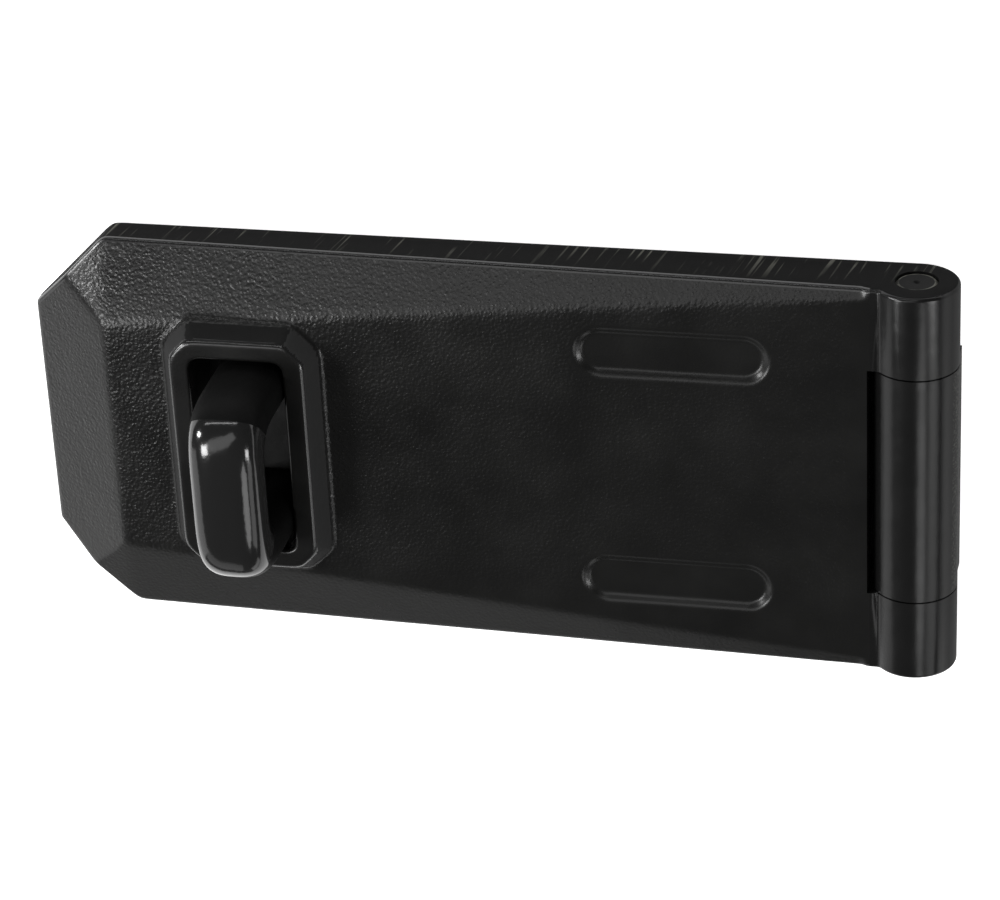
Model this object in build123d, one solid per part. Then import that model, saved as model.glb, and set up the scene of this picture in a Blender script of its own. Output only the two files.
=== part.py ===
from build123d import *
import math
import os

# Heavy padlock hasp: a hinged cover of forged steel over a riveted staple, both on screwed plates.
# Frame: millimetres, X from the tip to the hinge, Y across, Z out of the mounting surface at Z = 0.
# The cover is modelled closed, its middle over the origin.

# Cover, heights measured from its back
length = 180.0
width = 80.0
cover_height = 13.0
back_gap = 0.4
corner_cut = 16.0
tip_edge = 4.2
tip_bevel_run = 16.3
corner_crease = 7.7
rim_at_tip = 7.5
bevel_at_tip = 16.0
bevel_runout = 17.0
crease_radius = 3.0
rim_radius = 0.8
corner_radius = 2.5
knuckle_blend = 1.5

# Hinge
knuckle_r = 8.0
pin_r = 4.0
pin_running = 0.05
pin_inset = 0.3
pin_chamfer = 0.5
pin_centre_r = 0.7
middle_knuckle = 46.4
knuckle_gap = 0.3
notch_gap = 0.5

# Staple, a bent bar with rounded edges
staple_from_tip = 45.2
staple_width = 14.8
staple_bar = 10.0
staple_span = 38.4
staple_height = 38.6
staple_bend = 10.0
staple_inner_bend = 5.0
staple_edge = 4.6
tenon_shoulder = 2.0
tenon_corner = 1.0
rivet_flare = 1.0
rivet_inset = 0.2

# Slot and the raised frame round it
slot_swing_gap = 3.2
slot_hinge_gap = 0.4
slot_end_gap = 1.1
slot_corner = 2.2
frame_side = 4.0
frame_end = 3.7
frame_rise = 5.0
frame_draft = 0.5
frame_corner = 3.5
frame_upright_radius = 1.5
frame_edge_radius = 0.7
slot_edge_radius = 0.5

# Shallow pill-shaped recesses in the cover's face
pill_from_hinge = 53.0
pill_from_middle = 24.2
pill_length = 36.8
pill_width = 10.0
pill_depth = 0.9
pill_draft = 40.0

# Hollow back and the two plates in it
side_wall = 9.0
tip_wall = 13.5
end_wall = 12.0
hollow_corner = 4.0
plate_thickness = 5.5
plate_gap = 1.0
plate_corner = 5.0
rest_gap = 0.3
plates_apart = 5.0
swing_gap = 0.8
screw_r = 4.25
screw_head_r = 8.0
screw_edge = 10.0

# Places that follow from the sizes above
tip_x = -length / 2
axis_x = length / 2 - knuckle_r
axis_z = back_gap + knuckle_r
half_width = width / 2
face_z = back_gap + cover_height
notch_half = middle_knuckle / 2 + knuckle_gap
notch_x = axis_x - knuckle_r - notch_gap
staple_x = tip_x + staple_from_tip
slot_low_x = staple_x - staple_width / 2 - slot_swing_gap
slot_high_x = staple_x + staple_width / 2 + slot_hinge_gap
slot_x = (slot_low_x + slot_high_x) / 2
slot_size = (slot_high_x - slot_low_x, staple_span + 2 * slot_end_gap)
ceiling_z = plate_thickness + rest_gap
hollow_low_x = tip_x + tip_wall
hollow_high_x = axis_x - end_wall
hollow_half = half_width - side_wall
plate_half = hollow_half - plate_gap
staple_plate_low_x = hollow_low_x + plate_gap
staple_plate_high_x = 2 * staple_x - staple_plate_low_x
hinge_plate_low_x = staple_plate_high_x + plates_apart
end_wall_swing = math.hypot(end_wall, knuckle_r)
hinge_plate_high_x = axis_x - swing_gap - math.sqrt(end_wall_swing**2 - (axis_z - plate_thickness) ** 2)
foot_x = axis_x + math.sqrt(knuckle_r**2 - (axis_z - plate_thickness) ** 2)


def block(low, high, corner=0.0):
    """A box between two corners, its upright edges rounded."""
    size = [b - a for a, b in zip(low, high)]
    middle = [(a + b) / 2 for a, b in zip(low, high)]
    solid = Pos(*middle) * Box(*size)
    return fillet(solid.edges().filter_by(Axis.Z), corner) if corner else solid


def rod(radius, low_y, high_y):
    """A cylinder on the hinge axis."""
    solid = Cylinder(radius, high_y - low_y, rotation=(90, 0, 0))
    return Pos(axis_x, (low_y + high_y) / 2, axis_z) * solid


def plane_through(a, b, c):
    """The plane through three points, its normal upwards."""
    a, b, c = Vector(*a), Vector(*b), Vector(*c)
    normal = (b - a).cross(c - a)
    return Plane(origin=a, x_dir=b - a, z_dir=normal if normal.Z > 0 else -normal)


def shared(faces, times):
    """The edges that bound this many of the faces."""
    edges = [edge for face in faces for edge in face.edges()]
    return [edge for i, edge in enumerate(edges) if edges.count(edge) == times and edge not in edges[:i]]


def bevelled_plate():
    """The cover's body: a plate with cut tip corners, whose face falls away to the tip and the two sides."""
    cut_x = tip_x + corner_cut
    crease_x = tip_x + tip_bevel_run
    rim_end_x = length / 2 - bevel_runout
    outline = Polygon(
        (axis_x, -half_width),
        (axis_x, half_width),
        (cut_x, half_width),
        (tip_x, half_width - corner_cut),
        (tip_x, corner_cut - half_width),
        (cut_x, -half_width),
        align=None,
    )
    plate = extrude(Pos(0, 0, back_gap) * outline, cover_height)
    upright = plate.edges().filter_by(Axis.Z)
    plate = fillet(upright.filter_by(lambda edge: edge.center().X < axis_x - 1), corner_radius)
    tip_z = back_gap + tip_edge
    tip_slope = (cover_height - tip_edge) / tip_bevel_run
    plate = split(
        plate,
        plane_through((tip_x, -1, tip_z), (tip_x, 1, tip_z), (crease_x, 0, face_z)),
        Keep.BOTTOM,
    )
    for side in (-1, 1):
        rim_tip = (cut_x, side * half_width, back_gap + rim_at_tip)
        rim_end = (rim_end_x, side * half_width, face_z)
        inner = (cut_x, side * (half_width - bevel_at_tip), face_z)
        plate = split(plate, plane_through(rim_tip, rim_end, inner), Keep.BOTTOM)
        corner = (
            tip_x + corner_crease,
            side * (half_width - corner_cut + corner_crease),
            tip_z + tip_slope * corner_crease,
        )
        plate = split(plate, plane_through(rim_tip, corner, inner), Keep.BOTTOM)
    sloping = [face for face in plate.faces() if face.normal_at(face.center()).Z > 0.3]
    return fillet(shared(sloping, 2), crease_radius)


def body():
    """The bevelled plate with its barrel on the hinge axis, blended together and eased round the rim."""
    cover = bevelled_plate() + rod(knuckle_r, -half_width, half_width)
    across = cover.edges().filter_by(Axis.Y)
    joint = [edge for edge in across if abs(edge.center().Z - face_z) < 0.01 and edge.center().X > notch_x]
    cover = fillet(joint, knuckle_blend)
    upright = [face for face in cover.faces() if abs(face.normal_at(face.center()).Z) < 0.01]
    rim = shared([face for face in upright if face.center().X < axis_x], 1)
    return fillet([edge for edge in rim if edge.center().Z > back_gap + 0.01], rim_radius)


def frame_outline(grow, z):
    """The raised frame's outline at its rim, grown outwards by this much."""
    half_x = slot_size[0] / 2 + frame_side + grow
    half_y = slot_size[1] / 2 + frame_end + grow
    cut = frame_corner + grow * (2 - math.sqrt(2))
    corners = [
        (half_x - cut, half_y),
        (cut - half_x, half_y),
        (-half_x, half_y - cut),
        (-half_x, cut - half_y),
        (cut - half_x, -half_y),
        (half_x - cut, -half_y),
        (half_x, cut - half_y),
        (half_x, half_y - cut),
    ]
    return Pos(slot_x, 0, z) * Polygon(*corners, align=None)


def raised_frame():
    """The drafted frame that guards the staple's foot, its skirt sunk into the cover."""
    skirt = cover_height / 3
    low = frame_outline(frame_draft * (frame_rise + skirt), face_z - skirt)
    high = frame_outline(0, face_z + frame_rise)
    frame = loft([low, high], ruled=True)
    upright = frame.edges().filter_by(lambda edge: abs(edge.center().Z - frame.center().Z) < skirt / 2)
    frame = fillet(upright, frame_upright_radius)
    return fillet(frame.edges().group_by(Axis.Z)[-1], frame_edge_radius)


def pill(side):
    """The cutter of one shallow recess with sloping walls."""
    outline = Pos(length / 2 - pill_from_hinge, side * pill_from_middle, face_z)
    return extrude(outline * SlotOverall(pill_length, pill_width), -pill_depth, taper=pill_draft)


def hasp():
    """The cover: its body with raised frame, slot, recesses and hollow back, cut away for the fixed leaf."""
    cover = body() + raised_frame()
    for side in (-1, 1):
        cover -= pill(side)
    hollow = block(
        (hollow_low_x, -hollow_half, -1),
        (hollow_high_x, hollow_half, ceiling_z),
        hollow_corner,
    )
    neck_room = block((hollow_high_x - hollow_corner, -notch_half, -1), (notch_x, notch_half, ceiling_z))
    notch = block((notch_x, -notch_half, -1), (length, notch_half, 3 * knuckle_r))
    slot = Pos(slot_x, 0, 0) * extrude(RectangleRounded(*slot_size, slot_corner), 3 * cover_height)
    cover -= slot
    cover = fillet(
        cover.edges().filter_by(
            lambda edge: abs(edge.center().Z - face_z - frame_rise) < 0.01
            and abs(edge.center().X - slot_x) < slot_size[0] / 2 + 0.01
            and abs(edge.center().Y) < slot_size[1] / 2 + 0.01
        ),
        slot_edge_radius,
    )
    cover -= hollow + neck_room + notch
    return cover - rod(pin_r, -width, width)


def screw_holes(low_x, high_x):
    """Four countersunk screw holes, set in from a plate's edges."""
    sink = screw_head_r - screw_r
    hole = Cylinder(screw_r, plate_thickness, align=(Align.CENTER, Align.CENTER, Align.MIN))
    head = Cone(screw_r, screw_head_r, sink, align=(Align.CENTER, Align.CENTER, Align.MIN))
    cutter = hole + Pos(0, 0, plate_thickness - sink) * head
    rows = (low_x + screw_edge, high_x - screw_edge)
    lines = (screw_edge - plate_half, plate_half - screw_edge)
    return [Pos(x, y, 0) * cutter for x in rows for y in lines]


def hinge_plate():
    """The fixed leaf: a plate with a neck to the middle knuckle, which turns on the pin."""
    leaf = block(
        (hinge_plate_low_x, -plate_half, 0),
        (hinge_plate_high_x, plate_half, plate_thickness),
        plate_corner,
    )
    leaf += block(
        (hinge_plate_high_x - plate_corner, -middle_knuckle / 2, 0),
        (foot_x, middle_knuckle / 2, plate_thickness),
    )
    leaf += rod(knuckle_r, -middle_knuckle / 2, middle_knuckle / 2)
    leaf -= rod(pin_r + pin_running, -width, width)
    return leaf - screw_holes(hinge_plate_low_x, hinge_plate_high_x)


def hinge_pin():
    """The pin, just under flush in the outer knuckles, with a turner's centre in each end."""
    end_y = half_width - pin_inset
    pin = chamfer(rod(pin_r, -end_y, end_y).edges(), pin_chamfer)
    for side in (-1, 1):
        centre = Cone(pin_centre_r, 0, pin_centre_r, rotation=(side * 90, 0, 0))
        pin -= Pos(axis_x, side * (end_y - pin_centre_r / 2), axis_z) * centre
    return pin


def tenons(below=0.0):
    """The staple's two tenons, flared where they are riveted over, and carried on below by this much."""
    size = (staple_width - 2 * tenon_shoulder, staple_bar - 2 * tenon_shoulder)
    flared = [side + 2 * rivet_flare for side in size]
    outline = RectangleRounded(*size, tenon_corner)
    foot = RectangleRounded(*flared, tenon_corner + rivet_flare)
    tenon = extrude(Pos(0, 0, rivet_inset) * outline, plate_thickness - rivet_inset)
    tenon += loft([Pos(0, 0, rivet_inset) * foot, Pos(0, 0, rivet_inset + rivet_flare) * outline], ruled=True)
    if below:
        tenon += extrude(Pos(0, 0, rivet_inset) * foot, -below)
    leg_y = (staple_span - staple_bar) / 2
    return [Pos(staple_x, side * leg_y, 0) * tenon for side in (-1, 1)]


def staple():
    """The staple: a bar bent square over the slot, rounded along its edges, with a tenon under each leg."""
    rise = staple_height - plate_thickness
    outer = Pos(0, plate_thickness + rise / 2) * RectangleRounded(staple_span, rise, staple_bend)
    foot = Pos(0, plate_thickness + rise / 4) * Rectangle(staple_span, rise / 2)
    eye_span = staple_span - 2 * staple_bar
    eye_top = staple_height - staple_bar
    eye = Pos(0, eye_top / 2) * RectangleRounded(eye_span, eye_top, staple_inner_bend)
    profile = outer + foot - eye
    profile -= Pos(0, plate_thickness) * Rectangle(eye_span, plate_thickness)
    across = Plane(origin=(staple_x, 0, 0), x_dir=(0, 1, 0), z_dir=(1, 0, 0))
    bar = extrude(across * profile, staple_width / 2, both=True)
    long_edges = bar.edges().filter_by(lambda edge: abs(edge.center().X - staple_x) > staple_width / 2 - 0.01)
    above = long_edges.filter_by(lambda edge: edge.center().Z > plate_thickness + 0.01)
    bar = fillet(above, staple_edge)
    for tenon in tenons():
        bar += tenon
    return bar


def staple_plate():
    """The plate that the staple is riveted into."""
    plate = block(
        (staple_plate_low_x, -plate_half, 0),
        (staple_plate_high_x, plate_half, plate_thickness),
        plate_corner,
    )
    plate -= screw_holes(staple_plate_low_x, staple_plate_high_x)
    return plate - tenons(rivet_inset)


os.makedirs("parts", exist_ok=True)
for make in (hasp, hinge_plate, hinge_pin, staple, staple_plate):
    export_step(make(), f"parts/{make.__name__}.step")
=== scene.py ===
"""The looks of a heavy padlock hasp: black stoved enamel on forged, bent and rolled steel.

The cover and the staple are surfaces worked out with numpy, in place of their CAD nodes. The leaf, the
hinge pin and the staple's plate keep their CAD meshes. Sizes and places of shapes are in millimetres.
"""
import math

import bmesh
import bpy
import numpy as np
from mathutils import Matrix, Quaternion, Vector


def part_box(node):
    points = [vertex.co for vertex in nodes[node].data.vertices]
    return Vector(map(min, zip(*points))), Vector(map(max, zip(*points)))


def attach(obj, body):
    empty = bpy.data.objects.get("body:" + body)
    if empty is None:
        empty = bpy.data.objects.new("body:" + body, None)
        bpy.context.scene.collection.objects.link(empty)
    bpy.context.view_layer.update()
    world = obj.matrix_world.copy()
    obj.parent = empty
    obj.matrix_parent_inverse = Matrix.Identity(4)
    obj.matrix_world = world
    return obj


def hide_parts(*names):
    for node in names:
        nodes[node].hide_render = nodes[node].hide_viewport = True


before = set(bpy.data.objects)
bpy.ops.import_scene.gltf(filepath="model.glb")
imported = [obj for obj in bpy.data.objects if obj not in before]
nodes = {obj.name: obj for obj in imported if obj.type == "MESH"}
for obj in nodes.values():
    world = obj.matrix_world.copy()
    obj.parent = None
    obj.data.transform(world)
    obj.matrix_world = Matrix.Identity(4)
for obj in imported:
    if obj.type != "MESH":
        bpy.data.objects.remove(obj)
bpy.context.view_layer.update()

MM = 0.001

# The boxes that the frame gives
COVER_LOW, COVER_HIGH = (np.array(corner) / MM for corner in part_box("hasp"))
STAPLE_LOW, STAPLE_HIGH = (np.array(corner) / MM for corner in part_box("staple"))
PLATE_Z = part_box("staple_plate")[1].z / MM

# The cover's outline, and the planes that its forging dies give it
TIP_X, HINGE_X = COVER_LOW[0], COVER_HIGH[0]
HALF_WIDTH = COVER_HIGH[1]
BACK_Z, FRAME_Z = COVER_LOW[2], COVER_HIGH[2]
FRAME_RISE = 5.0
FACE_Z = FRAME_Z - FRAME_RISE
CORNER_CUT = 16.0
CORNER_CREASE = 7.7
TIP_Z = BACK_Z + 4.2
TIP_BEVEL_RUN = 16.3
TIP_SLOPE = (FACE_Z - TIP_Z) / TIP_BEVEL_RUN
SIDE_BEVEL_AT_TIP = 16.0
SIDE_BEVEL_RUNOUT = 8.0
RIM_TIP_Z = BACK_Z + 7.5
RIM_RADIUS = 0.8
BACK_RADIUS = 0.8

# The hinge: knuckles past a seam in the cover's face, with a notch between them for the leaf's knuckle
KNUCKLE_RADIUS = 8.0
PIN_RADIUS = 4.0
PIN_X = HINGE_X - KNUCKLE_RADIUS
PIN_Z = BACK_Z + KNUCKLE_RADIUS
SEAM_X = HINGE_X - 2 * KNUCKLE_RADIUS
NOTCH_X = SEAM_X - 0.5
NOTCH_HALF = 23.5

# The slot round the staple, longer towards the tip for the cover's swing, and the raised frame round it
SLOT_LOW_X = STAPLE_LOW[0] - 3.2
SLOT_HIGH_X = STAPLE_HIGH[0] + 0.4
SLOT_HALF_Y = STAPLE_HIGH[1] + 1.1
SLOT_CORNER = 2.2
SLOT_EDGE_RADIUS = 0.5
SLOT_X = (SLOT_LOW_X + SLOT_HIGH_X) / 2
SLOT_HALF_X = (SLOT_HIGH_X - SLOT_LOW_X) / 2
FRAME_HALF_X = SLOT_HALF_X + 4.0
FRAME_HALF_Y = SLOT_HALF_Y + 3.7
FRAME_CUT = 3.5
FRAME_DRAFT = 0.5

# The two shallow recesses, each a stadium
PILL_X = HINGE_X - 53.0
PILL_Y = 24.2
PILL_RUN = 13.4
PILL_RADIUS = 5.0
PILL_DEPTH = 0.9
PILL_LIP = 0.3
PILL_WALL = 1.9

# How softly the forging's planes run into each other: the k of soft_min and soft_max
CREASE_SOFTNESS_AT_SEAM = 0.03
CREASE_SOFTNESS_GAIN = 0.17
CORNER_SOFTNESS = 0.35
FRAME_CORNER_SOFTNESS = 0.5
FRAME_RIM_SOFTNESS = 0.36
FRAME_FOOT_SOFTNESS = 0.45

# The forging's grain: its share along the cover, what is lost of it where the dies were smoother, and the
# run before the seam over which it fades
GRAIN_AT_HINGE = 0.45
GRAIN_GAIN_AT_TIP = 0.20
GRAIN_LOST_ON_TIP = 0.15
GRAIN_LOST_ON_FRAME = 0.9
GRAIN_LOST_BELOW = 0.5
GRAIN_LOST_AT_PILLS = 0.8
GRAIN_FADE = 6.0
SWELL_HEIGHT = 0.035
COARSE_PEEL_HEIGHT = 0.012
FINE_PEEL_HEIGHT = 0.014

# The skirt's rings: the rim's turns from the bevel to the wall, with a filed flat between the second and the
# third, then the numbers of rings on the wall and on the back's edge, and how far the last is tucked in
RIM_TURNS = np.array([0, 0.01, 0.31, 0.54, 0.77, 1])
FILED_SHARES = np.array([0.15, 0.85])
WALL_RINGS = 6
BACK_RINGS = 4
TUCK_IN, TUCK_UP = 0.6, 0.05

# The cover's finishes, in the order of its material slots
# The side walls' finish is a lighter copy of the ends': painted light, as the side walls catch more of the
# lamps
FACE, GROUND_EDGE, KNUCKLE, RIM, SIDE_WALL_PAINTED_LIGHT, END_WALL = range(6)

# The staple: a rounded bar, bent over, with a riveted tenon on each foot
STAPLE_HALF_WIDTH = 7.0
STAPLE_X = STAPLE_HIGH[0] - STAPLE_HALF_WIDTH
STAPLE_HALF_SPAN, STAPLE_TOP, RIVET_Z = STAPLE_HIGH[1], STAPLE_HIGH[2], STAPLE_LOW[2]
STAPLE_BAR = 10.0
TENON_SHOULDER = 2.0
RIVET_FLARE = 1.0
BEND_Z = 18.0
BEND_POWER = 4.6
SECTION_POWER = 2.7
LEG_RINGS, ARCH_RINGS, RING_POINTS = 28, 56, 72
CROWN_TURN = 43.0

ENAMEL_IOR = 1.5


def srgb(hex_colour):
    """A written sRGB colour as the linear RGBA that the shader takes."""
    channels = np.array([int(hex_colour[i : i + 2], 16) for i in (1, 3, 5)]) / 255
    linear = np.where(channels <= 0.04045, channels / 12.92, ((channels + 0.055) / 1.055) ** 2.4)
    return (*linear.tolist(), 1.0)


def add(tree, kind, sockets=None, **settings):
    """Adds a node, sets its properties, and fills each named socket with a value or a node's output."""
    made = tree.nodes.new(kind)
    for name, value in settings.items():
        setattr(made, name, value)
    for name, value in (sockets or {}).items():
        if isinstance(value, bpy.types.NodeSocket):
            tree.links.new(value, made.inputs[name])
        else:
            made.inputs[name].default_value = value
    return made


def per_mm(size):
    """The texture scale that gives a pattern of this size in millimetres on Object coordinates in metres."""
    return 1.0 / (size * MM)


def new_material(name):
    """An empty material with its tree, its Object coordinates and its surface output."""
    material = bpy.data.materials.new(name)
    material.use_nodes = True
    tree = material.node_tree
    tree.nodes.clear()
    place = add(tree, "ShaderNodeTexCoord").outputs["Object"]
    surface = add(tree, "ShaderNodeOutputMaterial").inputs["Surface"]
    return material, tree, place, surface


def enamel_on_forging():
    """Black stoved enamel on a drop forging, dried over the scale that the dies left. The eye sees a deep
    black of small half-glossy grains, and a sheen that drifts. The mesh's grain attribute says how rough
    it is from place to place."""
    material, tree, place, surface = new_material("black_enamel_on_forged_steel")
    rough = add(tree, "ShaderNodeAttribute", attribute_name="grain").outputs["Fac"]
    # Round blisters with finer grains between them catch the lamps as separate dots
    blister = add(
        tree,
        "ShaderNodeTexVoronoi",
        {"Vector": place, "Scale": per_mm(0.62)},
        feature="SMOOTH_F1",
    )
    blisters = add(
        tree,
        "ShaderNodeBump",
        {"Strength": rough, "Distance": 0.14 * MM, "Height": blister.outputs["Distance"]},
        invert=True,
    )
    grain = add(
        tree,
        "ShaderNodeTexNoise",
        {"Vector": place, "Scale": per_mm(0.45), "Detail": 1.0, "Roughness": 0.6},
    )
    grains = add(
        tree,
        "ShaderNodeBump",
        {
            "Strength": rough,
            "Distance": 0.07 * MM,
            "Height": grain.outputs["Fac"],
            "Normal": blisters.outputs["Normal"],
        },
    )
    # Thicker and thinner enamel, which is glossier and duller in wide patches
    sheen = add(tree, "ShaderNodeTexNoise", {"Vector": place, "Scale": per_mm(14.0), "Detail": 3.0})
    gloss = add(
        tree,
        "ShaderNodeMapRange",
        {"Value": sheen.outputs["Fac"], "From Min": 0.3, "From Max": 0.7, "To Min": 0.25, "To Max": 0.34},
    )
    tint = add(
        tree,
        "ShaderNodeMix",
        {"Factor": sheen.outputs["Fac"], "A": srgb("#0c0c0c"), "B": srgb("#121211")},
        data_type="RGBA",
    )
    paint = add(
        tree,
        "ShaderNodeBsdfPrincipled",
        {
            "Base Color": tint.outputs["Result"],
            "Roughness": gloss.outputs["Result"],
            "IOR": ENAMEL_IOR,
            "Specular IOR Level": 0.28,
            "Normal": grains.outputs["Normal"],
        },
    )
    tree.links.new(paint.outputs["BSDF"], surface)
    return material


def enamel_on_ground_edge():
    """Thin black enamel on an edge that was ground flat. The eye sees a dull, dark band with long leaning
    scratches, bare and pale where the wheel broke out over the back edge."""
    material, tree, place, surface = new_material("black_enamel_on_ground_edge")
    lean = add(
        tree,
        "ShaderNodeMapping",
        {"Vector": place, "Rotation": (0, math.radians(9), math.radians(35))},
    )
    # A fine noise drawn out along the wheel's way gives scratches
    marks = add(tree, "ShaderNodeMapping", {"Vector": lean.outputs["Vector"], "Scale": (1.0, 1.0, 0.03)})
    scratch = add(
        tree,
        "ShaderNodeTexNoise",
        {"Vector": marks.outputs["Vector"], "Scale": per_mm(0.8), "Detail": 2.0},
    )
    line = add(
        tree,
        "ShaderNodeMapRange",
        {"Value": scratch.outputs["Fac"], "From Min": 0.59, "From Max": 0.66},
    )
    # The deepest are bare only low on the wall, and only in patches
    height = add(tree, "ShaderNodeSeparateXYZ", {"Vector": place}).outputs["Z"]
    low = add(tree, "ShaderNodeMapRange", {"Value": height, "From Min": 11.0 * MM, "From Max": 2.0 * MM})
    patch = add(tree, "ShaderNodeTexNoise", {"Vector": place, "Scale": per_mm(9.0), "Detail": 1.0})
    where = add(
        tree,
        "ShaderNodeMapRange",
        {"Value": patch.outputs["Fac"], "From Min": 0.40, "From Max": 0.60},
    )
    kept = add(tree, "ShaderNodeMath", {0: low.outputs[0], 1: where.outputs[0]}, operation="MULTIPLY")
    worn = add(tree, "ShaderNodeMath", {0: line.outputs[0], 1: kept.outputs[0]}, operation="MULTIPLY")
    tint = add(
        tree,
        "ShaderNodeMix",
        {"Factor": worn.outputs[0], "A": srgb("#1b1b1b"), "B": srgb("#62625c")},
        data_type="RGBA",
    )
    groove = add(
        tree,
        "ShaderNodeBump",
        {"Strength": 0.6, "Distance": 0.06 * MM, "Height": scratch.outputs["Fac"]},
    )
    paint = add(
        tree,
        "ShaderNodeBsdfPrincipled",
        {
            "Base Color": tint.outputs["Result"],
            "Roughness": 0.75,
            "IOR": ENAMEL_IOR,
            "Specular IOR Level": 0.02,
            "Normal": groove.outputs["Normal"],
        },
    )
    tree.links.new(paint.outputs["BSDF"], surface)
    return material


def enamel_on_pin():
    """Black enamel on a turned pin. The eye sees a dull disc with a pale, broken ring, where the enamel is
    rubbed thin on the end's edge. The ring is a step in the distance from the pin's axis."""
    material, tree, place, surface = new_material("black_enamel_on_turned_steel")
    end = add(tree, "ShaderNodeMapping", {"Vector": place, "Scale": (1.0, 0.0, 1.0)})
    out = add(
        tree,
        "ShaderNodeVectorMath",
        {0: end.outputs["Vector"], 1: (PIN_X * MM, 0.0, PIN_Z * MM)},
        operation="DISTANCE",
    )
    ring = add(
        tree,
        "ShaderNodeMapRange",
        {
            "Value": out.outputs["Value"],
            "From Min": (PIN_RADIUS - 0.8) * MM,
            "From Max": (PIN_RADIUS - 0.65) * MM,
        },
    )
    patch = add(tree, "ShaderNodeTexNoise", {"Vector": place, "Scale": per_mm(2.0), "Detail": 2.0})
    where = add(
        tree,
        "ShaderNodeMapRange",
        {"Value": patch.outputs["Fac"], "From Min": 0.3, "From Max": 0.6},
    )
    worn = add(tree, "ShaderNodeMath", {0: ring.outputs[0], 1: where.outputs[0]}, operation="MULTIPLY")
    tint = add(
        tree,
        "ShaderNodeMix",
        {"Factor": worn.outputs[0], "A": srgb("#242424"), "B": srgb("#6e6e68")},
        data_type="RGBA",
    )
    paint = add(
        tree,
        "ShaderNodeBsdfPrincipled",
        {
            "Base Color": tint.outputs["Result"],
            "Roughness": 0.7,
            "IOR": ENAMEL_IOR,
            "Specular IOR Level": 0.03,
        },
    )
    tree.links.new(paint.outputs["BSDF"], surface)
    return material


def enamel_on_bar(name, roughness, specular, colour="#101010", dull_x=None):
    """Black stoved enamel on smooth steel. The eye sees an even skin with faint runs and specks, which bend
    the lamps' reflections a little. Where dull_x is given, it weathers to dull over the last 3 mm before
    that place along the part."""
    material, tree, place, surface = new_material(name)
    run = add(tree, "ShaderNodeTexNoise", {"Vector": place, "Scale": per_mm(5.0), "Detail": 2.0})
    speck = add(tree, "ShaderNodeTexNoise", {"Vector": place, "Scale": per_mm(0.8), "Detail": 1.0})
    runs = add(
        tree,
        "ShaderNodeBump",
        {"Strength": 1.0, "Distance": 0.07 * MM, "Height": run.outputs["Fac"]},
    )
    specks = add(
        tree,
        "ShaderNodeBump",
        {
            "Strength": 1.0,
            "Distance": 0.01 * MM,
            "Height": speck.outputs["Fac"],
            "Normal": runs.outputs["Normal"],
        },
    )
    gloss = add(
        tree,
        "ShaderNodeMapRange",
        {
            "Value": run.outputs["Fac"],
            "From Min": 0.3,
            "From Max": 0.7,
            "To Min": roughness * 0.9,
            "To Max": roughness * 1.1,
        },
    )
    if dull_x is not None:
        along = add(tree, "ShaderNodeSeparateXYZ", {"Vector": place}).outputs["X"]
        dull = add(
            tree,
            "ShaderNodeMapRange",
            {"Value": along, "From Min": (dull_x - 3.0) * MM, "From Max": dull_x * MM, "To Max": 0.8},
        )
        gloss = add(
            tree,
            "ShaderNodeMath",
            {0: gloss.outputs["Result"], 1: dull.outputs["Result"]},
            operation="MAXIMUM",
        )
    paint = add(
        tree,
        "ShaderNodeBsdfPrincipled",
        {
            "Base Color": srgb(colour),
            "Roughness": gloss.outputs[0],
            "IOR": ENAMEL_IOR,
            "Specular IOR Level": specular,
            "Normal": specks.outputs["Normal"],
        },
    )
    tree.links.new(paint.outputs["BSDF"], surface)
    return material


def enamel_on_leaf(sawn_x):
    """Black stoved enamel on rolled steel, as on bar. Past sawn_x the eye sees it broken by fine pale specks,
    where it didn't fill the tears of the saw."""
    material = enamel_on_bar("black_enamel_on_rolled_steel", 0.24, 0.28, dull_x=sawn_x + 0.2)
    tree = material.node_tree
    place = add(tree, "ShaderNodeTexCoord").outputs["Object"]
    along = add(tree, "ShaderNodeSeparateXYZ", {"Vector": place}).outputs["X"]
    end = add(
        tree,
        "ShaderNodeMapRange",
        {"Value": along, "From Min": sawn_x * MM, "From Max": (sawn_x + 0.3) * MM},
    )
    tears = add(
        tree,
        "ShaderNodeTexNoise",
        {"Vector": place, "Scale": per_mm(0.5), "Detail": 3.0, "Roughness": 0.7},
    )
    bare = add(
        tree,
        "ShaderNodeMapRange",
        {"Value": tears.outputs["Fac"], "From Min": 0.48, "From Max": 0.72},
    )
    worn = add(tree, "ShaderNodeMath", {0: end.outputs[0], 1: bare.outputs[0]}, operation="MULTIPLY")
    tint = add(
        tree,
        "ShaderNodeMix",
        {"Factor": worn.outputs[0], "A": srgb("#101010"), "B": srgb("#474744")},
        data_type="RGBA",
    )
    tree.links.new(tint.outputs["Result"], tree.nodes["Principled BSDF"].inputs["Base Color"])
    return material


def soft_min(k, *heights):
    """The least of several heights with its creases rounded: -k times the log of the summed
    exp(-height / k)."""
    lowest = np.minimum.reduce(heights)
    return lowest - k * np.log(sum(np.exp((lowest - h) / k) for h in heights))


def soft_max(k, *heights):
    """The greatest of several heights, its hollows filled in the same way."""
    return -soft_min(k, *(-h for h in heights))


def ease(t):
    """A smooth step: 0 up to t = 0, 1 from t = 1, and 3t^2 - 2t^3 between."""
    t = np.clip(t, 0, 1)
    return t * t * (3 - 2 * t)


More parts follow.
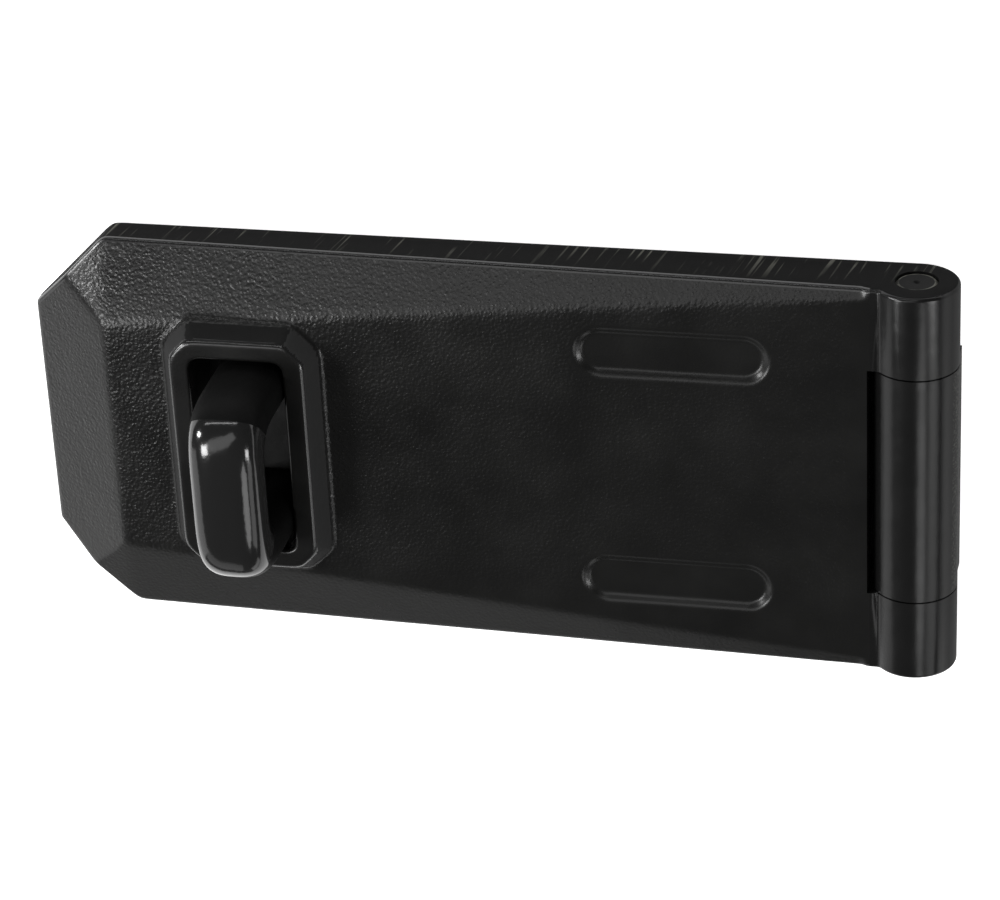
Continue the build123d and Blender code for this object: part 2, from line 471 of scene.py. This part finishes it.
def lattice_noise(x, y, cell, seed, turn):
    """Smooth random heights from -1 to 1: a turned lattice of random values, eased from cell to cell."""
    side = 512
    table = np.random.default_rng(seed).uniform(-1, 1, (side, side))
    u = (x * math.cos(turn) + y * math.sin(turn)) / cell
    v = (y * math.cos(turn) - x * math.sin(turn)) / cell
    i, j = np.floor(u).astype(int), np.floor(v).astype(int)
    s, t = ease(u - i), ease(v - j)
    low = table[i % side, j % side] * (1 - s) + table[(i + 1) % side, j % side] * s
    high = table[i % side, (j + 1) % side] * (1 - s) + table[(i + 1) % side, (j + 1) % side] * s
    return low * (1 - t) + high * t


def plane_height(x, y, a, b, c):
    """The height at (x, y) of the plane through three points."""
    normal = np.cross(np.subtract(b, a), np.subtract(c, a))
    return a[2] - (normal[0] * (x - a[0]) + normal[1] * (y - a[1])) / normal[2]


def tip_bevel(x):
    """The height of the tip's bevel, a plane that rises along x."""
    return TIP_Z + TIP_SLOPE * (x - TIP_X)


def bevelled_face(x, y):
    """The plate's face: the soft least of the flat, the tip's bevel, the side's bevel and the corner's facet.
    The creases sharpen towards the seam, and the face runs level into the knuckles there."""
    side = np.abs(y)
    cut_x = TIP_X + CORNER_CUT
    rim_tip = (cut_x, HALF_WIDTH, RIM_TIP_Z)
    rim_end = (HINGE_X + SIDE_BEVEL_RUNOUT, HALF_WIDTH, FACE_Z)
    inner = (cut_x, HALF_WIDTH - SIDE_BEVEL_AT_TIP, FACE_Z)
    crease_x = TIP_X + CORNER_CREASE
    crease = (crease_x, HALF_WIDTH - CORNER_CUT + CORNER_CREASE, tip_bevel(crease_x))
    level = soft_min(
        CREASE_SOFTNESS_AT_SEAM + CREASE_SOFTNESS_GAIN * ease((SEAM_X - x) / 30),
        np.full_like(x, FACE_Z),
        tip_bevel(x),
        plane_height(x, side, rim_tip, rim_end, inner),
        plane_height(x, side, rim_tip, crease, inner),
    )
    return FACE_Z + (level - FACE_Z) * ease((SEAM_X - x) / 2)


def past_frame(x, y):
    """How far (x, y) lies outside the lines of the frame's long sides, its ends and its cut corners."""
    past_x = np.abs(x - SLOT_X) - FRAME_HALF_X
    past_y = np.abs(y) - FRAME_HALF_Y
    return past_x, past_y, (past_x + past_y + FRAME_CUT) / math.sqrt(2)


def frame_height(x, y):
    """The raised frame: level inside its eight-sided rim, and a drafted wall that falls away outside it."""
    outside = soft_max(FRAME_CORNER_SOFTNESS, *past_frame(x, y))
    return soft_min(FRAME_RIM_SOFTNESS, np.full_like(x, FRAME_Z), FRAME_Z - outside / FRAME_DRAFT)


def slot_distance(x, y):
    """How far (x, y) lies outside the slot's rounded rectangle, and the way out."""
    dx = np.abs(x - SLOT_X) - SLOT_HALF_X + SLOT_CORNER
    dy = np.abs(y) - SLOT_HALF_Y + SLOT_CORNER
    corner = np.hypot(np.maximum(dx, 0), np.maximum(dy, 0))
    distance = corner + np.minimum(np.maximum(dx, dy), 0) - SLOT_CORNER
    way_x = np.where(dx > 0, np.maximum(dx, 0) / np.maximum(corner, 1e-9), 0) * np.sign(x - SLOT_X)
    way_y = np.where(dy > 0, np.maximum(dy, 0) / np.maximum(corner, 1e-9), 0) * np.sign(y)
    return distance, way_x, way_y


def inside_pill(x, y):
    """How far (x, y) lies inside the nearer recess: its radius less the distance from its middle line."""
    return PILL_RADIUS - np.hypot(np.maximum(np.abs(x - PILL_X) - PILL_RUN, 0), np.abs(y) - PILL_Y)


def pill_depth(x, y):
    """The shallow recesses: the distance inwards, eased down from the lip to the floor."""
    return PILL_DEPTH * ease((inside_pill(x, y) + PILL_LIP) / PILL_WALL)


def grain_share(x, y):
    """How rough the forging is: a share that rises towards the tip, times what is left of it on the tip's
    bevel, on the frame, along the lower side, round the recesses and before the seam."""
    along = GRAIN_AT_HINGE + GRAIN_GAIN_AT_TIP * ease((-5 - x) / 50)
    on_tip = ease((bevelled_face(x, y) - tip_bevel(x) + 2.0) / 1.8)
    on_frame = ease((frame_height(x, y) - FACE_Z - 1) / 2)
    below = ease((-y - 22) / 6)
    near_pill = ease((inside_pill(x, y) + 2) / 2)
    left = (1 - GRAIN_LOST_ON_TIP * on_tip) * (1 - GRAIN_LOST_ON_FRAME * on_frame)
    left = left * (1 - GRAIN_LOST_BELOW * below) * (1 - GRAIN_LOST_AT_PILLS * near_pill)
    return along * left * ease((SEAM_X - x) / GRAIN_FADE)


def forged_relief(x, y):
    """The die's scaly skin: a slow swell off the frame, and bumps of two finer sizes, as high as the forging
    is rough there."""
    on_frame = ease((frame_height(x, y) - FACE_Z) / 2)
    swell = SWELL_HEIGHT * lattice_noise(x, y, cell=7.0, seed=1, turn=0.4) * (1 - on_frame)
    coarse = COARSE_PEEL_HEIGHT * lattice_noise(x, y, cell=2.3, seed=2, turn=1.1)
    fine = FINE_PEEL_HEIGHT * lattice_noise(x, y, cell=1.2, seed=3, turn=0.2)
    return swell * ease((SEAM_X - x) / GRAIN_FADE) + (coarse + fine) * grain_share(x, y)


def face_height(x, y):
    """The cover's face before its relief: plate and frame run together, less the recesses."""
    return soft_max(FRAME_FOOT_SOFTNESS, bevelled_face(x, y), frame_height(x, y)) - pill_depth(x, y)


def stations(breaks, steps):
    """Grid lines through all the breaks, about a step apart between each two."""
    runs = [
        np.linspace(low, high, max(1, round((high - low) / step)), endpoint=False)
        for low, high, step in zip(breaks, breaks[1:], steps)
    ]
    return np.concatenate([*runs, breaks[-1:]])


def quads(rows, columns):
    """The faces of a grid of points numbered row by row."""
    first = (np.arange(rows - 1)[:, None] * columns + np.arange(columns - 1)).ravel()
    return np.stack([first, first + columns, first + columns + 1, first + 1], 1)


def cover_face():
    """The forged face: a grid in x and y, finest round the frame and drawn in at the tip to the cut corners,
    at the face's height plus its relief. The slot and the notch are left out. Points just inside the slot
    move out onto its edge, which a quarter circle rounds."""
    edge = HALF_WIDTH - RIM_RADIUS
    foot = FRAME_RISE * FRAME_DRAFT + 1
    x_breaks = [
        TIP_X + RIM_RADIUS,
        SLOT_X - FRAME_HALF_X - foot,
        SLOT_LOW_X,
        SLOT_HIGH_X,
        SLOT_X + FRAME_HALF_X + foot,
        NOTCH_X,
        SEAM_X,
    ]
    x_lines = stations(x_breaks, [0.48, 0.28, 0.4, 0.28, 0.46, 0.5])
    y_breaks = [0, SLOT_HALF_Y, NOTCH_HALF, FRAME_HALF_Y + foot, edge]
    half = stations(y_breaks, [0.44, 0.28, 0.28, 0.42])
    x, across = np.meshgrid(x_lines, np.concatenate([-half[:0:-1], half]), indexing="ij")
    cut_edge = x - TIP_X + HALF_WIDTH - CORNER_CUT - RIM_RADIUS * math.sqrt(2)
    y = across * soft_min(CORNER_SOFTNESS, np.full_like(x, edge), cut_edge) / edge

    gap, way_x, way_y = slot_distance(x, y)
    faces = quads(*x.shape)
    in_slot = (gap.ravel()[faces] <= 1e-6).all(1)
    past_notch = x.ravel()[faces].max(1) > NOTCH_X + 0.01
    in_notch = past_notch & (np.abs(y.ravel()[faces]).max(1) < NOTCH_HALF + 0.01)
    faces = faces[~(in_slot | in_notch)]

    x = x - np.minimum(gap, 0) * way_x
    y = y - np.minimum(gap, 0) * way_y
    near = np.clip(SLOT_EDGE_RADIUS - np.maximum(gap, 0), 0, None)
    rounding = SLOT_EDGE_RADIUS - np.sqrt(SLOT_EDGE_RADIUS**2 - near**2)
    z = face_height(x, y) + forged_relief(x, y) - rounding
    return np.stack([x, y, z], -1), faces


def cover_skirt(border):
    """The face's edge carried outwards in rings, each with its reach past the edge and its height: round the
    rim, down the wall, round the back's edge and a little way in. The rim is a circle that starts at the
    bevel's slope, ends upright and has one filed flat. Gives the rings, and how many are the rim's."""
    along = np.gradient(border[:, :2], axis=0)
    along /= np.linalg.norm(along, axis=1, keepdims=True)
    out = np.stack([along[:, 1], -along[:, 0]], 1)
    inner_point = (20, 0)
    out *= np.sign(np.sum(out * (border[:, :2] - inner_point), 1, keepdims=True))
    step = 0.4
    ahead = bevelled_face(border[:, 0] + step * out[:, 0], border[:, 1] + step * out[:, 1])
    slope = np.arctan((bevelled_face(border[:, 0], border[:, 1]) - ahead) / step)

    turn = slope + (math.pi / 2 - slope) * RIM_TURNS[:, None]
    rim = RIM_RADIUS * np.stack([np.sin(turn), np.cos(turn)])
    filed = rim[:, 1:2] + (rim[:, 2:3] - rim[:, 1:2]) * FILED_SHARES[:, None]
    rim_reach, rim_rise = np.concatenate([rim[:, :2], filed, rim[:, 2:]], 1)
    rim_z = border[:, 2] - RIM_RADIUS / np.cos(slope) + rim_rise

    down = np.linspace(0, 1, WALL_RINGS + 1)[1:, None]
    wall_reach = np.full((WALL_RINGS, len(border)), RIM_RADIUS)
    wall_z = rim_z[-1] + (BACK_Z + BACK_RADIUS - rim_z[-1]) * down
    under = np.linspace(0, math.pi / 2, BACK_RINGS + 1)[1:, None] + np.zeros(len(border))
    back_reach = RIM_RADIUS - BACK_RADIUS * (1 - np.cos(under))
    back_z = BACK_Z + BACK_RADIUS * (1 - np.sin(under))

    reach = np.concatenate([rim_reach, wall_reach, back_reach, back_reach[-1:] - TUCK_IN])
    height = np.concatenate([rim_z, wall_z, back_z, back_z[-1:] + TUCK_UP])
    rings = np.concatenate([border[None, :, :2] + reach[..., None] * out, height[..., None]], 2)
    return rings, len(rim_z)


def face_finish(x, y):
    """The finish at each place of the face, by its rise on the frame: first the frame's walls, where the
    sides get a lighter copy of the ends' enamel as painted light, then its rim, and the face's own finish
    below and on top."""
    rise = frame_height(x, y) - FACE_Z
    past_x, past_y, past_cut = past_frame(x, y)
    rim_rise = FRAME_RISE - 0.6
    on_wall = (rise > 0.8) & (rise < rim_rise)
    on_end = past_y > np.maximum(past_x, past_cut)
    on_rim = (rise >= rim_rise) & (rise < FRAME_RISE - 0.03)
    return np.select([on_wall & on_end, on_wall, on_rim], [END_WALL, SIDE_WALL_PAINTED_LIGHT, RIM], FACE)


def cover_skin():
    """The forged skin: the face, and the skirt that hangs on three sides of it, from the seam round the tip
    and back. Gives its points, its faces and the finish of each face."""
    points, faces = cover_face()
    rows, columns = points.shape[:2]
    order = np.arange(rows * columns).reshape(rows, columns)
    edge = np.concatenate([order[::-1, 0], order[0, 1:], order[1:, -1]])
    points = points.reshape(-1, 3)
    middle = points[faces].mean(1)
    rings, rim_rings = cover_skirt(points[edge])
    numbers = np.concatenate([edge, len(points) + np.arange(rings[..., 0].size)])
    skirt_faces = numbers[quads(len(rings) + 1, len(edge))[:, ::-1]]
    skirt_finish = np.full(len(skirt_faces), GROUND_EDGE)
    skirt_finish[: rim_rings * (len(edge) - 1)] = RIM
    finish = np.concatenate([face_finish(middle[:, 0], middle[:, 1]), skirt_finish])
    return np.concatenate([points, rings.reshape(-1, 3)]), np.concatenate([faces, skirt_faces]), finish


def inside_outline(point, inset):
    """Whether a point lies inside the cover's outline by this much."""
    x, side = point[0] / MM, abs(point[1]) / MM
    cut = (x - TIP_X + HALF_WIDTH - CORNER_CUT - side) / math.sqrt(2)
    return min(x - TIP_X, HALF_WIDTH - side, cut) > inset


def forged_cover(*finishes):
    """The cover: its dense forged skin, joined to the node's own knuckles, slot walls and hollow back. What
    the skin covers is taken off a copy of the node: its outer walls, and what looks up above the hollow."""
    points, faces, finish = cover_skin()
    mesh = bpy.data.meshes.new("cover")
    mesh.from_pydata(points * MM, [], faces.tolist())
    mesh.polygons.foreach_set("material_index", finish)
    grain = mesh.attributes.new("grain", "FLOAT", "POINT")
    grain.data.foreach_set("value", grain_share(points[:, 0], points[:, 1]).astype(np.float32))
    for material in finishes:
        mesh.materials.append(material)

    forging = bmesh.new()
    forging.from_mesh(nodes["hasp"].data)
    bmesh.ops.remove_doubles(forging, verts=forging.verts, dist=1e-6)
    bmesh.ops.bisect_plane(
        forging,
        geom=[*forging.verts, *forging.edges, *forging.faces],
        plane_co=(SEAM_X * MM, 0, 0),
        plane_no=(1, 0, 0),
        dist=1e-7,
    )
    lowest_face_z = FACE_Z - 9
    covered = []
    for face in forging.faces:
        middle = face.calc_center_median()
        if middle.x > SEAM_X * MM:
            outer_end = abs(face.normal.y) > 0.9 and abs(middle.y) > HALF_WIDTH * MM - 1e-4
            face.material_index = GROUND_EDGE if outer_end else KNUCKLE
            continue
        face.material_index = FACE
        outer = not inside_outline(middle, BACK_RADIUS - 0.005)
        looks_up = face.normal.z > 0.02 and middle.z > lowest_face_z * MM
        if outer or (looks_up and inside_outline(middle, 0)):
            covered.append(face)
    bmesh.ops.delete(forging, geom=covered, context="FACES")
    forging.from_mesh(mesh)
    forging.to_mesh(mesh)
    forging.free()
    mesh.shade_smooth()
    mesh.set_sharp_from_angle(angle=math.radians(38))
    cover = bpy.data.objects.new("cover", mesh)
    bpy.context.scene.collection.objects.link(cover)
    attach(cover, "cover")
    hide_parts("hasp")


def bend_line(half_span, top):
    """Half of the staple's bent line in y and z: straight up the leg, then over to the middle on a
    superellipse, |y / half span|^n + |rise / height|^n = 1, taken at even angles."""
    leg_z = np.linspace(PLATE_Z, BEND_Z, LEG_RINGS, endpoint=False)
    turn = np.linspace(0, math.pi / 2, ARCH_RINGS)
    reach = (np.cos(turn) ** BEND_POWER + np.sin(turn) ** BEND_POWER) ** (-1 / BEND_POWER)
    leg = np.stack([np.full(LEG_RINGS, half_span), leg_z], 1)
    arch = np.stack([half_span * reach * np.cos(turn), BEND_Z + (top - BEND_Z) * reach * np.sin(turn)], 1)
    return np.concatenate([leg, arch])


def bent_staple(crown_finish, leg_finish):
    """The staple: a rounded bar carried over its bent line. Each section is a superellipse between the outer
    and the inner line, |x / half width|^n + |depth / half bar|^n = 1. Each foot steps in at a shoulder to a
    tenon, which flares out again at the rivet and closes in a point."""
    outer = bend_line(STAPLE_HALF_SPAN, STAPLE_TOP)
    inner = bend_line(STAPLE_HALF_SPAN - STAPLE_BAR, STAPLE_TOP - STAPLE_BAR)
    middle, reach = (outer + inner) / 2, (outer - inner) / 2
    wide = np.full(len(middle), STAPLE_HALF_WIDTH)

    foot_z = np.array([RIVET_Z, RIVET_Z, RIVET_Z + RIVET_FLARE, PLATE_Z])
    foot_step = np.array([0.0, RIVET_FLARE - TENON_SHOULDER, -TENON_SHOULDER, -TENON_SHOULDER])
    foot_wide = STAPLE_HALF_WIDTH + foot_step
    foot_deep = STAPLE_BAR / 2 + foot_step
    foot_wide[0] = 0.0
    foot_deep[0] = 0.0
    foot_rings = len(foot_z)
    middle = np.concatenate([np.stack([np.full(foot_rings, middle[0, 0]), foot_z], 1), middle])
    reach = np.concatenate([np.stack([foot_deep, np.zeros(foot_rings)], 1), reach])
    wide = np.concatenate([foot_wide, wide])

    # The other half is the first one mirrored in y
    flip = np.array([-1, 1])
    middle = np.concatenate([middle, middle[-2::-1] * flip])
    reach = np.concatenate([reach, reach[-2::-1] * flip])
    wide = np.concatenate([wide, wide[-2::-1]])

    turn = np.linspace(0, 2 * math.pi, RING_POINTS, endpoint=False)
    deep = np.sign(np.cos(turn)) * np.abs(np.cos(turn)) ** (2 / SECTION_POWER)
    side = np.sign(np.sin(turn)) * np.abs(np.sin(turn)) ** (2 / SECTION_POWER)
    yz = middle[:, None] + reach[:, None] * deep[None, :, None]
    x = STAPLE_X + wide[:, None] * side
    points = np.concatenate([x[..., None], yz], 2)
    row, column = np.divmod(quads(len(points), RING_POINTS + 1), RING_POINTS + 1)
    faces = row * RING_POINTS + column % RING_POINTS

    mesh = bpy.data.meshes.new("staple_bar")
    mesh.from_pydata(points.reshape(-1, 3) * MM, [], faces.tolist())
    rings = np.arange(len(points) - 1)
    crown_start = foot_rings + LEG_RINGS + round(ARCH_RINGS * CROWN_TURN / 90)
    on_leg = np.minimum(rings, len(rings) - 1 - rings) < crown_start
    mesh.polygons.foreach_set("material_index", np.repeat(on_leg.astype(np.int32), RING_POINTS))
    shell = bmesh.new()
    shell.from_mesh(mesh)
    bmesh.ops.remove_doubles(shell, verts=shell.verts, dist=1e-7)
    bmesh.ops.recalc_face_normals(shell, faces=shell.faces)
    shell.to_mesh(mesh)
    shell.free()
    mesh.shade_smooth()
    mesh.set_sharp_from_angle(angle=math.radians(50))
    mesh.materials.append(crown_finish)
    mesh.materials.append(leg_finish)
    bar = bpy.data.objects.new("staple_bar", mesh)
    bpy.context.scene.collection.objects.link(bar)
    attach(bar, "mounting")
    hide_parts("staple")


def dress(node_name, material):
    """Gives a CAD node its finish."""
    mesh = nodes[node_name].data
    mesh.materials.clear()
    mesh.materials.append(material)


# The cover's finishes follow the order of its material slots
forged_cover(
    enamel_on_forging(),
    enamel_on_ground_edge(),
    enamel_on_bar("black_enamel_on_knuckle", 0.24, 0.28, dull_x=HINGE_X - 1.0),
    enamel_on_bar("black_enamel_on_rim", 0.22, 0.5),
    # The side walls' copy is painted lighter than the ends' copy: painted light on the walls that face the
    # lamps
    enamel_on_bar("black_enamel_on_frame_side_wall_painted_light", 0.6, 0.05, "#303030"),
    enamel_on_bar("black_enamel_on_frame_wall", 0.6, 0.05, "#1a1a1a"),
)
bent_staple(
    # The crown's enamel is painted a shade lighter than the legs': painted light on the top of the bar
    enamel_on_bar("black_enamel_on_bent_bar", 0.13, 0.42, "#171717"),
    enamel_on_bar("black_enamel_on_staple_legs", 0.5, 0.03),
)
dress("hinge_plate", enamel_on_leaf(HINGE_X - 0.9))
dress("hinge_pin", enamel_on_pin())
dress("staple_plate", enamel_on_bar("black_enamel_on_sheet_steel", 0.35, 0.28))


# The studio, in metres. Each lamp has the way to it from the part, its width and height, and its radiance
STUDIO_REACH = 0.9
LAMPS = {
    "overhead_softbox": ((-0.20, 0.22, 0.96), (0.75, 0.30), 1.9),
    "back_strip": ((-0.24, 0.84, 0.48), (0.80, 0.05), 9.0),
    "tip_softbox": ((-0.85, -0.45, 0.26), (0.45, 0.42), 1.42),
    "hinge_high_softbox": ((0.40, -0.47, 0.79), (0.26, 0.24), 3.8),
    "hinge_low_softbox": ((0.72, -0.46, 0.48), (0.34, 0.32), 1.7),
    "front_softbox": ((-0.42, -0.83, 0.36), (0.60, 0.30), 0.75),
    "front_card": ((0.40, -0.90, 0.16), (0.50, 0.20), 1.6),
    "key_spot": ((-0.58, -0.10, 0.81), (0.20, 0.20), 28.0),
    "corner_spot": ((-0.81, 0.24, 0.53), (0.13, 0.16), 60.0),
    "hinge_spot": ((0.74, -0.18, 0.63), (0.16, 0.26), 17.0),
}
FLOOR_HALF = 3.0
FLOOR_GLOW = 0.75
CAMERA_PLACE = Vector((0.156586, 0.335275, 0.628376))
CAMERA_AIM = Vector((0.000151, -0.005016, 0.0))
CAMERA_ROLL = math.radians(-154.8264)
CAMERA_LENS = 135.64


def softbox(name, way, size, radiance):
    """A rectangular soft light that faces the part, as bright as this radiance over its whole face: its
    energy is radiance times pi times its area."""
    light = bpy.data.lights.new(name, "AREA")
    light.shape = "RECTANGLE"
    light.size, light.size_y = size
    light.energy = radiance * math.pi * size[0] * size[1]
    lamp = bpy.data.objects.new(name, light)
    bpy.context.scene.collection.objects.link(lamp)
    lamp.location = Vector(way).normalized() * STUDIO_REACH
    lamp.rotation_euler = (-lamp.location).to_track_quat("-Z", "Y").to_euler()


def pale_floor():
    """The mounting surface: matt white card, which the lamps and a glow make white to the camera and in
    reflections, and which the object still shades."""
    mesh = bpy.data.meshes.new("floor")
    corners = FLOOR_HALF * np.array([(-1, -1, 0), (1, -1, 0), (1, 1, 0), (-1, 1, 0)])
    mesh.from_pydata(corners.tolist(), [], [(0, 1, 2, 3)])
    floor = bpy.data.objects.new("floor", mesh)
    bpy.context.scene.collection.objects.link(floor)
    material, tree, _, surface = new_material("white_card")
    seen = add(tree, "ShaderNodeLightPath")
    direct = add(
        tree,
        "ShaderNodeMath",
        {0: seen.outputs["Is Camera Ray"], 1: seen.outputs["Is Glossy Ray"]},
        operation="MAXIMUM",
    )
    shown = add(
        tree,
        "ShaderNodeMath",
        {0: direct.outputs[0], 1: seen.outputs["Is Transmission Ray"]},
        operation="MAXIMUM",
    )
    strength = add(tree, "ShaderNodeMath", {0: shown.outputs[0], 1: FLOOR_GLOW}, operation="MULTIPLY")
    card = add(tree, "ShaderNodeBsdfDiffuse", {"Color": srgb("#f2f2f2")})
    glow = add(tree, "ShaderNodeEmission", {"Color": (1, 1, 1, 1), "Strength": strength.outputs[0]})
    both = add(tree, "ShaderNodeAddShader", {0: card.outputs[0], 1: glow.outputs[0]})
    tree.links.new(both.outputs[0], surface)
    mesh.materials.append(material)


def grey_room():
    """An even grey all round, which fills the shadows."""
    world = bpy.data.worlds.new("studio")
    bpy.context.scene.world = world
    world.use_nodes = True
    world.node_tree.nodes.clear()
    walls = add(world.node_tree, "ShaderNodeBackground", {"Color": srgb("#676767"), "Strength": 1.0})
    add(world.node_tree, "ShaderNodeOutputWorld", {"Surface": walls.outputs[0]})


def photographers_camera():
    """A long lens that looks down on the cover from the hinge end, rolled until the cover lies level."""
    camera = bpy.data.cameras.new("camera")
    camera.sensor_width = 36.0
    camera.lens = CAMERA_LENS
    camera.clip_start, camera.clip_end = 0.05, 20
    holder = bpy.data.objects.new("camera", camera)
    bpy.context.scene.collection.objects.link(holder)
    upright = (CAMERA_AIM - CAMERA_PLACE).to_track_quat("-Z", "Y")
    holder.location = CAMERA_PLACE
    holder.rotation_euler = (upright @ Quaternion((0, 0, 1), CAMERA_ROLL)).to_euler()
    bpy.context.scene.camera = holder


for lamp_name, (way, size, radiance) in LAMPS.items():
    softbox(lamp_name, way, size, radiance)
pale_floor()
grey_room()
photographers_camera()
bpy.context.scene.view_settings.view_transform = "Standard"
